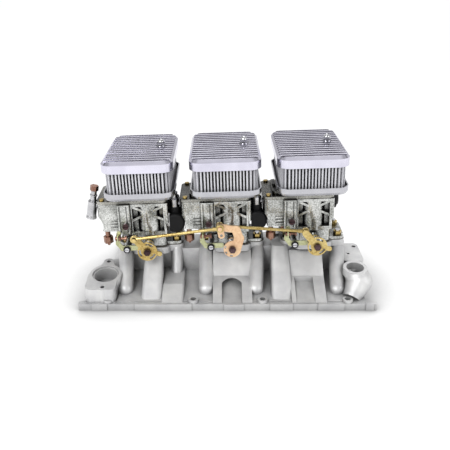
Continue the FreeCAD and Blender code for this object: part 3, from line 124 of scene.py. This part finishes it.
def metal(name, light, dark, rough, grain, bump, stretch=(1, 1, 1), corner_shade=0.0, metallic=1.0, reach=0.012,
          dents=0.0, ribs=0.0):
    """A metal whose colour, roughness and surface wander.

    grain is the fine texture's scale and bump its depth; the corner darkening, as far as reach, is painted shade in
    corners, hollows and under overhangs; dents is the depth of a broad unevenness; ribs is the pitch of painted shade
    lines in the grooves across an upper face.
    """
    material, tree = new_material(name)
    place = add_node(tree, "ShaderNodeTexCoord")
    mapping = add_node(tree, "ShaderNodeMapping", inputs={"Scale": stretch}, links=[("Vector", place, "Object")])
    fine = add_node(
        tree, "ShaderNodeTexNoise", inputs={"Scale": grain, "Detail": 4.0, "Roughness": 0.6},
        links=[("Vector", mapping, "Vector")],
    )
    broad = add_node(
        tree, "ShaderNodeTexNoise", inputs={"Scale": 38.0, "Detail": 3.0}, links=[("Vector", place, "Object")],
    )
    mix = add_node(tree, "ShaderNodeMix", {"data_type": "FLOAT"}, links=[
        ("A", fine, "Fac"), ("B", broad, "Fac"),
    ])
    mix.inputs["Factor"].default_value = 0.45
    colour = ramp(tree, [(0.36, srgb(dark)), (0.62, srgb(light))], mix, "Result")
    # painted shade: an occlusion node darkens the colour in corners, crevices and under overhangs
    if corner_shade:
        edge = add_node(tree, "ShaderNodeAmbientOcclusion", {"samples": 6}, {"Distance": reach})
        shade_ramp = ramp(tree, [(0.25, grey(1 - corner_shade)), (0.9, grey(1.0))], edge, "AO")
        colour_out = multiplied(tree, (colour, "Color"), shade_ramp)
    else:
        colour_out = (colour, "Color")
    # painted shade: dark lines in the grooves between the lid's ribs
    if ribs:
        colour_out = multiplied(tree, colour_out, groove_shade(tree, place, ribs))
    gloss = ramp(tree, [(0.3, grey(rough * 0.8)), (0.7, grey(min(1.0, rough * 1.25)))], mix, "Result")
    height = add_node(
        tree, "ShaderNodeBump", inputs={"Strength": bump, "Distance": 0.0004}, links=[("Height", fine, "Fac")],
    )
    if dents:
        height = add_node(
            tree, "ShaderNodeBump", inputs={"Strength": dents, "Distance": 0.002},
            links=[("Height", broad, "Fac"), ("Normal", height, "Normal")],
        )
    shader = add_node(tree, "ShaderNodeBsdfPrincipled", inputs={"Metallic": metallic}, links=[
        ("Roughness", gloss, "Color"), ("Normal", height, "Normal"),
    ])
    tree.links.new(mix_output(colour_out), shader.inputs["Base Color"])
    finish_shader(tree, shader)
    return material


def multiplied(tree, pair, shade):
    """A colour darkened by a grey ramp."""
    node = add_node(tree, "ShaderNodeMix", {"data_type": "RGBA", "blend_type": "MULTIPLY"}, links=[
        ("B", shade, "Color"),
    ])
    node.inputs["Factor"].default_value = 1.0
    tree.links.new(mix_output(pair), [i for i in node.inputs if i.name == "A" and i.type == "RGBA"][0])
    return node, "Result"


def groove_shade(tree, place, pitch):
    """Painted shade: dark lines along X on faces that look up, one per groove between the ribs, weakened in streaks by
    a noise.
    """
    wave = add_node(tree, "ShaderNodeTexWave", {"wave_type": "BANDS", "bands_direction": "Y"}, {
        "Scale": math.pi / (10 * pitch), "Distortion": 0.0, "Phase Offset": math.pi,
    }, [("Vector", place, "Object")])
    lines = ramp(tree, [(0.38, grey(0.12)), (0.55, grey(1.0))], wave)
    geometry = tree.nodes.new("ShaderNodeNewGeometry")
    facing = add_node(tree, "ShaderNodeSeparateXYZ", links=[("Vector", geometry, "Normal")])
    top = ramp(tree, [(0.86, grey(0.0)), (0.93, grey(1.0))], facing, "Z")
    streaks = add_node(
        tree, "ShaderNodeMapping", inputs={"Scale": (9.0, 260.0, 0.0)}, links=[("Vector", place, "Object")],
    )
    streak_noise = add_node(tree, "ShaderNodeTexNoise", inputs={"Scale": 1.0, "Detail": 2.0}, links=[
        ("Vector", streaks, "Vector"),
    ])
    kept = ramp(tree, [(0.35, grey(0.25)), (0.65, grey(1.0))], streak_noise)
    strength = add_node(tree, "ShaderNodeMath", {"operation": "MULTIPLY"})
    tree.links.new(top.outputs["Color"], strength.inputs[0])
    tree.links.new(kept.outputs["Color"], strength.inputs[1])
    node = add_node(tree, "ShaderNodeMix", {"data_type": "RGBA"}, links=[("Factor", strength, "Value")])
    colours = [i for i in node.inputs if i.type == "RGBA"]
    colours[0].default_value = grey(1.0)
    tree.links.new(lines.outputs["Color"], colours[1])
    out = ramp(tree, [(0.0, grey(0.0)), (1.0, grey(1.0))], node, "Result")
    tree.links.new(mix_output((node, "Result")), out.inputs["Fac"])
    return out


def mix_output(pair):
    """The colour output of a ramp or of a colour mix, whose Result sockets share one name."""
    node, name = pair
    if name == "Result":
        return next(o for o in node.outputs if o.name == "Result" and o.type == "RGBA")
    return node.outputs[name]


def dull(name, light, dark, rough, grain, bump, sheen=0.0, metallic=0.0, shine=0.5):
    """A rubber, plastic, paper or cloth surface with a fine bump and slight colour change."""
    material, tree = new_material(name)
    place = add_node(tree, "ShaderNodeTexCoord")
    fine = add_node(
        tree, "ShaderNodeTexNoise", inputs={"Scale": grain, "Detail": 3.0}, links=[("Vector", place, "Object")],
    )
    colour = ramp(tree, [(0.35, srgb(dark)), (0.65, srgb(light))], fine)
    gloss = ramp(tree, [(0.3, grey(rough * 0.85)), (0.7, grey(min(1.0, rough * 1.15)))], fine)
    height = add_node(
        tree, "ShaderNodeBump", inputs={"Strength": bump, "Distance": 0.0003}, links=[("Height", fine, "Fac")],
    )
    shader = add_node(tree, "ShaderNodeBsdfPrincipled", inputs={
        "Sheen Weight": sheen, "Metallic": metallic, "Specular IOR Level": shine,
    }, links=[
        ("Base Color", colour, "Color"), ("Roughness", gloss, "Color"), ("Normal", height, "Normal"),
    ])
    finish_shader(tree, shader)
    return material


def make_materials():
    """Every finish by the name of its real material; the record's slots use the same keys."""
    # finishes given a corner darkening carry painted shade in their corners, hollows and under overhangs
    return {
        # bead-blasted cast aluminium: pale satin grey with a pebbled skin, and painted shade in its recesses
        "cast_aluminium": metal(
            "bead_blasted_cast_aluminium", "dddddc", "bdbdbf", 0.46, 2600.0, 0.5, corner_shade=0.62, metallic=0.5,
            reach=0.03),
        # die-cast zinc alloy, tumbled half bright, with painted shade in the hollows and under the tray
        "die_cast_body": metal(
            "tumbled_die_cast_zinc", "ecedea", "767873", 0.2, 420.0, 0.5, corner_shade=0.97, reach=0.05, dents=0.9),
        # the cover's painted shade reaches far, so that it lays the tray's shadow on the cover's upper part
        "die_cast_cover": metal(
            "tumbled_die_cast_cover", "d2d1ca", "807f78", 0.26, 500.0, 0.4, corner_shade=0.98, reach=0.09, dents=0.5),
        # aluminium polished along the ribs, with painted shade in its grooves and corners
        "polished_lid": metal(
            "polished_ribbed_aluminium", "e2e0ee", "cfcddc", 0.2, 300.0, 0.05, stretch=(0.03, 1, 0), corner_shade=0.75,
            reach=0.006, ribs=0.012),
        # chrome plate, with painted shade in its gaps
        "polished_tray": metal("chromed_steel", "c9c9ce", "b4b4ba", 0.16, 900.0, 0.06, corner_shade=0.85, reach=0.008),
        "pleated_gauze": dull("oiled_cotton_pleats", "5a5a5c", "3a3a3c", 0.8, 3000.0, 0.6, sheen=0.2),
        # yellow zinc plate, which shifts between straw and pink
        "gold_zinc": metal(
            "yellow_zinc_plate", "dac586", "a88c4c", 0.3, 300.0, 0.15, corner_shade=0.65, metallic=0.8, reach=0.006),
        "pink_gold_zinc": metal(
            "pale_yellow_zinc_plate", "ebcba4", "d3a783", 0.34, 300.0, 0.12, corner_shade=0.5, metallic=0.7),
        "green_zinc": metal("greenish_zinc_plate", "d0d2aa", "a5a77c", 0.34, 300.0, 0.1, corner_shade=0.5, metallic=0.8),
        "brass": metal("turned_brass", "d8c07c", "94783c", 0.25, 600.0, 0.1, corner_shade=0.7, reach=0.005),
        "copper_brass": metal("dull_copper_brass", "b08a76", "5c3834", 0.33, 500.0, 0.14, corner_shade=0.7, reach=0.005),
        "bright_steel": metal("bright_steel", "e0e0e4", "b0b0b4", 0.18, 700.0, 0.08, corner_shade=0.7, reach=0.005),
        "dark_steel": metal("dark_steel", "6a5558", "33262a", 0.36, 700.0, 0.14, corner_shade=0.6, reach=0.005),
        "turned_aluminium": metal(
            "turned_aluminium", "dcdcde", "9c9ca0", 0.22, 700.0, 0.12, stretch=(1, 1, 6), corner_shade=0.7, dents=0.4),
        # black rubber; it also colours the black boots in the gaps between the bodies, dark parts that stand in for
        # the shade there
        "black_rubber": dull("black_rubber", "19191a", "0e0e0f", 0.6, 1500.0, 0.3, shine=0.2),
        "black_plastic": dull("black_moulded_plastic", "202022", "131315", 0.45, 1800.0, 0.2, shine=0.3),
        "float_plastic": dull("black_float_plastic", "242426", "17171a", 0.5, 1800.0, 0.2),
        "gasket_paper": dull("gasket_paper", "5b564e", "3f3b35", 0.85, 1400.0, 0.4),
        # pale crests of the pleats, and their hollows, whose near-black is the gauze deepened with painted shade
        "pleat_crest": dull("wire_gauze_crest", "dcdce0", "a4a4aa", 0.45, 2400.0, 0.6, metallic=0.3),
        "pleat_hollow": dull("gauze_hollow_with_painted_shade", "0e0e0f", "050506", 0.8, 2400.0, 0.4),
    }


def slot_of(node):
    for entry in frame["record"]["subparts"]:
        if entry["node"] == node:
            return entry["material_slot"]
    raise RuntimeError("no slot for " + node)


# ---- mesh helpers ----
def object_from(bm, name, material):
    mesh = bpy.data.meshes.new(name)
    bmesh.ops.recalc_face_normals(bm, faces=bm.faces)
    bm.to_mesh(mesh)
    bm.free()
    obj = bpy.data.objects.new(name, mesh)
    bpy.context.scene.collection.objects.link(obj)
    mesh.materials.append(material)
    return obj


def smooth(obj, angle=35.0):
    for polygon in obj.data.polygons:
        polygon.use_smooth = True
    obj.data.set_sharp_from_angle(angle=math.radians(angle))


def carried(obj, body):
    """Leans a piece drawn on level pads with the row and hands it to its body."""
    obj.data.transform(ROW)
    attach(obj, body)
    return obj


def tube_along(bm, points, radius, sides=10):
    """A closed tube through points, with its rings square to the path."""
    rings = []
    up = Vector((0, 0, 1))
    count = len(points)
    for i, point in enumerate(points):
        ahead, behind = points[min(i + 1, count - 1)], points[max(i - 1, 0)]
        along = (ahead - behind).normalized()
        side = along.cross(up)
        if side.length < 1e-4:
            side = Vector((1, 0, 0))
        side.normalize()
        other = side.cross(along).normalized()
        ring = []
        for k in range(sides):
            a = 2 * math.pi * k / sides
            ring.append(bm.verts.new(point + (side * math.cos(a) + other * math.sin(a)) * radius))
        rings.append(ring)
    for a, b in zip(rings, rings[1:]):
        for k in range(sides):
            bm.faces.new((a[k], a[(k + 1) % sides], b[(k + 1) % sides], b[k]))
    bm.faces.new(rings[0][::-1])
    bm.faces.new(rings[-1])


def revolve(bm, profile, centre, axis, sides=28):
    """A solid of revolution: profile is (radius, height) pairs, from the axis back to the axis."""
    turn = Vector((0, 0, 1)).rotation_difference(axis).to_matrix()
    rings = []
    for r, h in profile:
        if r < 1e-7:
            rings.append([bm.verts.new(centre + turn @ Vector((0, 0, h)))])
            continue
        ring = []
        for k in range(sides):
            a = 2 * math.pi * k / sides
            ring.append(bm.verts.new(centre + turn @ Vector((r * math.cos(a), r * math.sin(a), h))))
        rings.append(ring)
    for a, b in zip(rings, rings[1:]):
        for k in range(sides):
            k2 = (k + 1) % sides
            if len(a) == 1 and len(b) == 1:
                continue
            if len(a) == 1:
                bm.faces.new((a[0], b[k2], b[k]))
            elif len(b) == 1:
                bm.faces.new((a[k], a[k2], b[0]))
            else:
                bm.faces.new((a[k], a[k2], b[k2], b[k]))


# ---- settings ----
class IntakeSettings(bpy.types.PropertyGroup):
    """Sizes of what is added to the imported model."""

    pleat_count: bpy.props.IntProperty(
        name="Pleats", description="Folds round each filter element", default=92, min=20, max=200)
    pleat_width: bpy.props.FloatProperty(
        name="Crest width", description="Width of each fold's pale outer crest", default=0.0026, subtype="DISTANCE")
    pleat_depth: bpy.props.FloatProperty(
        name="Fold depth", description="How deep each fold runs into the element", default=0.008, subtype="DISTANCE")
    spring_turns: bpy.props.IntProperty(
        name="Spring turns", description="Turns of each throttle return spring", default=7)
    spring_wire: bpy.props.FloatProperty(
        name="Spring wire", description="Wire radius of the return springs", default=0.0007, subtype="DISTANCE")
    floor_colour: bpy.props.FloatVectorProperty(
        name="Floor", description="Colour of the floor and backdrop", default=(1.0, 1.0, 1.0), size=3, subtype="COLOR")


# ---- geometry nodes ----
def pleat_tree():
    """A node group that stands pleats round a curve: its inputs are the curve's sizes, the count and the finish."""
    tree = bpy.data.node_groups.new("pleats_round_filter", "GeometryNodeTree")
    face = tree.interface
    face.new_socket("Geometry", in_out="OUTPUT", socket_type="NodeSocketGeometry")
    names = (("Width", "Float"), ("Depth", "Float"), ("Corner", "Float"), ("Count", "Int"),
             ("Crest", "Float"), ("Fold", "Float"), ("Height", "Float"), ("Seed", "Int"))
    for name, kind in names:
        face.new_socket(name, in_out="INPUT", socket_type="NodeSocket" + kind)
    face.new_socket("Finish", in_out="INPUT", socket_type="NodeSocketMaterial")
    group_in = tree.nodes.new("NodeGroupInput")
    group_out = tree.nodes.new("NodeGroupOutput")
    loop = add_node(tree, "GeometryNodeCurvePrimitiveQuadrilateral", {"mode": "RECTANGLE"}, links=[
        ("Width", group_in, "Width"), ("Height", group_in, "Depth"),
    ])
    fillet = add_node(tree, "GeometryNodeFilletCurve", {"mode": "POLY"}, {"Count": 12}, [
        ("Curve", loop, "Curve"), ("Radius", group_in, "Corner"),
    ])
    fillet.inputs["Limit Radius"].default_value = True
    spaced = add_node(tree, "GeometryNodeResampleCurve", {"mode": "COUNT"}, links=[
        ("Curve", fillet, "Curve"), ("Count", group_in, "Count"),
    ])
    points = add_node(tree, "GeometryNodeCurveToPoints", {"mode": "EVALUATED"}, links=[("Curve", spaced, "Curve")])
    size = add_node(tree, "ShaderNodeCombineXYZ", links=[
        ("X", group_in, "Crest"), ("Y", group_in, "Fold"), ("Z", group_in, "Height"),
    ])
    fold = add_node(tree, "GeometryNodeMeshCube", links=[("Size", size, "Vector")])
    wobble = add_node(tree, "FunctionNodeRandomValue", {"data_type": "FLOAT"}, links=[("Seed", group_in, "Seed")])
    floats = [s for s in wobble.inputs if s.type == "VALUE"]
    floats[0].default_value, floats[1].default_value = 0.8, 1.15
    stretch = add_node(tree, "ShaderNodeCombineXYZ", inputs={"Y": 1.0, "Z": 1.0})
    out = next(o for o in wobble.outputs if o.type == "VALUE")
    tree.links.new(out, stretch.inputs["X"])
    turned = add_node(tree, "FunctionNodeAlignRotationToVector", {"axis": "X"}, links=[
        ("Vector", points, "Tangent"),
    ])
    placed = add_node(tree, "GeometryNodeInstanceOnPoints", links=[
        ("Points", points, "Points"), ("Instance", fold, "Mesh"), ("Rotation", turned, "Rotation"),
        ("Scale", stretch, "Vector"),
    ])
    real = add_node(tree, "GeometryNodeRealizeInstances", links=[("Geometry", placed, "Instances")])
    finish = add_node(tree, "GeometryNodeSetMaterial", links=[
        ("Geometry", real, "Geometry"), ("Material", group_in, "Finish"),
    ])
    tree.links.new(finish.outputs["Geometry"], group_out.inputs["Geometry"])
    return tree


def mesh_from_nodes(tree, name, values):
    """Runs a node group with those inputs and returns the plain mesh it makes."""
    holder = bpy.data.objects.new(name + "_holder", bpy.data.meshes.new(name + "_holder"))
    bpy.context.scene.collection.objects.link(holder)
    modifier = holder.modifiers.new("nodes", "NODES")
    modifier.node_group = tree
    for item in tree.interface.items_tree:
        if item.in_out == "INPUT" and item.name in values:
            modifier[item.identifier] = values[item.name]
    holder.update_tag()
    graph = bpy.context.evaluated_depsgraph_get()
    graph.update()
    mesh = bpy.data.meshes.new_from_object(holder.evaluated_get(graph))
    bpy.data.objects.remove(holder)
    if not mesh.polygons:
        raise RuntimeError(name + " came out empty")
    return mesh


# ---- operators ----
class INTAKE_OT_finishes(bpy.types.Operator):
    """Gives every carried-over node its finish"""

    bl_idname = "intake.finishes"
    bl_label = "Finishes"

    def execute(self, context):
        for name, node in frame["nodes"].items():
            material = finishes()[slot_of(name)]
            node.data.materials.clear()
            node.data.materials.append(material)
            smooth(node, 32.0)
        return {"FINISHED"}


class INTAKE_OT_pleats(bpy.types.Operator):
    """Builds the pleated filter elements"""

    bl_idname = "intake.pleats"
    bl_label = "Pleated elements"

    def execute(self, context):
        s = context.scene.intake_settings
        tree = pleat_tree()
        for name in NAMES:
            width, depth, height = ELEMENT
            centre = Vector((CARB_X[name] + FILTER_SHIFT, 0, ELEMENT_LOW + height / 2))
            inset = s.pleat_depth / 2
            mesh = mesh_from_nodes(tree, "pleats_" + name, {
                "Width": width - 2 * inset, "Depth": depth - 2 * inset, "Corner": 0.015 - inset,
                "Count": s.pleat_count, "Crest": s.pleat_width, "Fold": s.pleat_depth,
                "Height": height, "Seed": 7, "Finish": finishes()["pleat_crest"],
            })
            bm = bmesh.new()
            bm.from_mesh(mesh)
            bmesh.ops.translate(bm, verts=bm.verts, vec=centre)
            core_ring(bm, centre, width / 2 - 0.0035, depth / 2 - 0.0035, 0.0115, height, 0.009)
            obj = object_from(bm, "pleats_" + name, finishes()["pleat_crest"])
            # the sheet behind the crests takes the near-black painted shade of the folds
            obj.data.materials.append(finishes()["pleat_hollow"])
            for polygon in obj.data.polygons:
                polygon.material_index = 1 if polygon.index >= len(mesh.polygons) else 0
            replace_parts(carried(obj, ROOT), "filter_element_" + name)
        return {"FINISHED"}


def rounded_loop(half_x, half_y, corner, steps=10):
    points = []
    for sx, sy, start in ((1, 1, 0), (-1, 1, 90), (-1, -1, 180), (1, -1, 270)):
        for i in range(steps + 1):
            a = math.radians(start + 90 * i / steps)
            points.append((sx * (half_x - corner) + corner * math.cos(a), sy * (half_y - corner) + corner * math.sin(a)))
    return points


def core_ring(bm, centre, half_x, half_y, corner, height, thickness):
    """The folded sheet behind the crests, as a closed ring; the pleats step gives it the painted shade of the hollows.
    """
    outer = rounded_loop(half_x, half_y, corner)
    inner = rounded_loop(half_x - thickness, half_y - thickness, max(corner - thickness, 0.002))
    rows = []
    for loop in (outer, inner):
        for z in (-height / 2, height / 2):
            rows.append([bm.verts.new(centre + Vector((x, y, z))) for x, y in loop])
    count = len(outer)
    out_low, out_high, in_low, in_high = rows
    for k in range(count):
        n = (k + 1) % count
        bm.faces.new((out_low[k], out_low[n], out_high[n], out_high[k]))
        bm.faces.new((in_low[n], in_low[k], in_high[k], in_high[n]))
        bm.faces.new((out_high[k], out_high[n], in_high[n], in_high[k]))
        bm.faces.new((out_low[n], out_low[k], in_low[k], in_low[n]))


class INTAKE_OT_springs(bpy.types.Operator):
    """Winds the throttle return springs round the lever hubs"""

    bl_idname = "intake.springs"
    bl_label = "Return springs"

    def execute(self, context):
        s = context.scene.intake_settings
        for name in NAMES:
            x = CARB_X[name]
            points = []
            steps = s.spring_turns * 20
            for i in range(steps + 1):
                a = 2 * math.pi * i / 20
                y = LEVER_Y + 0.0055 + 0.0185 * i / steps
                points.append(Vector((x + 0.0092 * math.cos(a), y, SHAFT_Z + 0.0092 * math.sin(a))))
            bm = bmesh.new()
            tube_along(bm, points, s.spring_wire, 8)
            obj = object_from(bm, "return_spring_" + name, finishes()["bright_steel"])
            smooth(obj, 50)
            carried(obj, "throttle_" + name)
        return {"FINISHED"}


class INTAKE_OT_hollows(bpy.types.Operator):
    """Fills the hollow under the middle saddle with its sloping back, front and rear"""

    bl_idname = "intake.hollows"
    bl_label = "Saddle hollows"

    def execute(self, context):
        half, low = NICHE_WIDTH / 2 - 0.0001, 0.0122
        profile = [(-0.131, low), (-0.118, 0.0135), (-0.085, 0.0215), (-0.0722, NICHE_STEP), (-0.0722, low)]
        for name, side in (("front", 1), ("rear", -1)):
            bm = bmesh.new()
            rows = [[bm.verts.new((NICHE_X + x, side * y, z)) for y, z in profile] for x in (-half, half)]
            count = len(profile)
            for k in range(count):
                n = (k + 1) % count
                bm.faces.new((rows[0][k], rows[0][n], rows[1][n], rows[1][k]))
            bm.faces.new(rows[0])
            bm.faces.new(rows[1][::-1])
            obj = object_from(bm, "saddle_hollow_" + name, finishes()["cast_aluminium"])
            smooth(obj, 40)
            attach(obj, ROOT)
        return {"FINISHED"}


class INTAKE_OT_stage(bpy.types.Operator):
    """Sets the floor, the light and the camera"""

    bl_idname = "intake.stage"
    bl_label = "Stage"

    def execute(self, context):
        scene = context.scene
        floor_mesh = bpy.data.meshes.new("floor")
        corners = [(-30, -30, 0), (30, -30, 0), (30, 30, 0), (-30, 30, 0)]
        floor_mesh.from_pydata([Vector(c) - Vector((0, 0, 0.0002)) for c in corners], [], [(0, 1, 2, 3)])
        floor = bpy.data.objects.new("floor", floor_mesh)
        scene.collection.objects.link(floor)
        floor_mesh.materials.append(floor_material(scene.intake_settings.floor_colour))
        add_area("key", (-0.8, -1.3, 1.0), (0, 0, 0.12), 0.8, 20.0)
        add_area("fill", (1.2, -0.7, 0.7), (0, 0, 0.12), 0.7, 5.0)
        add_area("rim", (0.1, 1.0, 1.3), (0, 0, 0.15), 1.0, 8.0)
        scene.world = studio_world()
        add_camera()
        scene.view_settings.view_transform = "Standard"
        return {"FINISHED"}


def floor_material(colour):
    """White studio floor: mostly its own light, so that it stays pale, with a painted shadow near the object where an
    occlusion node dims that light.
    """
    material, tree = new_material("studio_floor")
    place = add_node(tree, "ShaderNodeTexCoord")
    fine = add_node(tree, "ShaderNodeTexNoise", inputs={"Scale": 40.0}, links=[("Vector", place, "Object")])
    gloss = ramp(tree, [(0.3, grey(0.85)), (0.7, grey(0.95))], fine)
    near = add_node(tree, "ShaderNodeAmbientOcclusion", {"samples": 16}, {"Distance": 0.13})
    # painted shadow: the floor's own light falls off near the object
    glow_with_painted_shadow = ramp(tree, [
        (0.5, grey(0.34)), (0.62, grey(0.46)), (0.75, grey(0.62)), (0.87, grey(0.82)), (0.97, grey(1.0)),
    ], near, "AO")
    own = add_node(tree, "ShaderNodeMix", {"data_type": "RGBA", "blend_type": "MULTIPLY"}, links=[
        ("A", glow_with_painted_shadow, "Color"),
    ])
    own.inputs["Factor"].default_value = 1.0
    [i for i in own.inputs if i.name == "B" and i.type == "RGBA"][0].default_value = tuple(colour) + (1.0,)
    shader = add_node(tree, "ShaderNodeBsdfPrincipled", inputs={
        "Specular IOR Level": 0.0, "Base Color": grey(0.16), "Emission Strength": 0.92,
    }, links=[("Roughness", gloss, "Color")])
    tree.links.new(mix_output((own, "Result")), shader.inputs["Emission Color"])
    finish_shader(tree, shader)
    return material


def studio_world():
    """A bright tent with a few darker bands, so that polished metal has something to show."""
    world = bpy.data.worlds.new("studio")
    world.use_nodes = True
    tree = world.node_tree
    tree.nodes.clear()
    place = add_node(tree, "ShaderNodeTexCoord")
    parts = add_node(tree, "ShaderNodeSeparateXYZ", links=[("Vector", place, "Generated")])
    bands = ramp(tree, [
        (0.0, grey(0.5)), (0.2, grey(0.85)), (0.45, grey(0.95)), (0.52, grey(0.35)), (0.60, grey(0.12)),
        (0.68, grey(0.75)), (0.80, grey(0.45)), (0.9, grey(1.0)), (1.0, grey(1.0)),
    ], parts, "Z")
    lit = add_node(tree, "ShaderNodeBackground", inputs={"Strength": 0.8}, links=[("Color", bands, "Color")])
    seen = add_node(tree, "ShaderNodeBackground", inputs={"Color": grey(1.0), "Strength": 1.0})
    path = add_node(tree, "ShaderNodeLightPath")
    mix = add_node(tree, "ShaderNodeMixShader", links=[("Fac", path, "Is Camera Ray")])
    tree.links.new(lit.outputs["Background"], mix.inputs[1])
    tree.links.new(seen.outputs["Background"], mix.inputs[2])
    output = tree.nodes.new("ShaderNodeOutputWorld")
    tree.links.new(mix.outputs["Shader"], output.inputs["Surface"])
    return world


def add_area(name, place, target, size, power):
    data = bpy.data.lights.new(name, "AREA")
    data.energy, data.size = power, size
    lamp = bpy.data.objects.new(name, data)
    bpy.context.scene.collection.objects.link(lamp)
    way = Vector(target) - Vector(place)
    lamp.matrix_world = Matrix.Translation(place) @ way.to_track_quat("-Z", "Y").to_matrix().to_4x4()


def add_camera():
    """The camera that took the photograph, as fitted to it."""
    yaw, pitch, roll = math.radians(0.58), math.radians(23.48), math.radians(0.28)
    ahead = Vector((math.sin(yaw) * math.cos(pitch), math.cos(yaw) * math.cos(pitch), -math.sin(pitch)))
    right = Vector((math.cos(yaw), -math.sin(yaw), 0))
    up = right.cross(ahead)
    across = right * math.cos(roll) + up * math.sin(roll)
    above = right * -math.sin(roll) + up * math.cos(roll)
    data = bpy.data.cameras.new("camera")
    data.lens = 49.24
    data.sensor_width = 36.0
    camera = bpy.data.objects.new("camera", data)
    turn = Matrix((across, above, -ahead)).transposed().to_4x4()
    camera.matrix_world = Matrix.Translation((-0.01505, -1.04359, 0.55426)) @ turn
    bpy.context.scene.collection.objects.link(camera)
    bpy.context.scene.camera = camera


class INTAKE_PT_panel(bpy.types.Panel):
    """Sizes and steps of the intake's looks"""

    bl_label = "Intake"
    bl_idname = "INTAKE_PT_panel"
    bl_space_type = "VIEW_3D"
    bl_region_type = "UI"
    bl_category = "Intake"

    def draw(self, context):
        settings = context.scene.intake_settings
        for name in IntakeSettings.__annotations__:
            self.layout.prop(settings, name)
        for step in STEPS:
            self.layout.operator(step.bl_idname)


STEPS = (
    INTAKE_OT_finishes, INTAKE_OT_pleats, INTAKE_OT_springs, INTAKE_OT_hollows, INTAKE_OT_stage,
)
CLASSES = (IntakeSettings,) + STEPS + (INTAKE_PT_panel,)
_made = {}


def finishes():
    """The materials, made once."""
    if not _made:
        _made.update(make_materials())
    return _made


def register():
    for item in CLASSES:
        bpy.utils.register_class(item)
    bpy.types.Scene.intake_settings = bpy.props.PointerProperty(type=IntakeSettings)


def unregister():
    del bpy.types.Scene.intake_settings
    for item in reversed(CLASSES):
        bpy.utils.unregister_class(item)


def main():
    register()
    for step in STEPS:
        group, call = step.bl_idname.split(".")
        getattr(getattr(bpy.ops, group), call)()


if __name__ == "__main__":
    main()
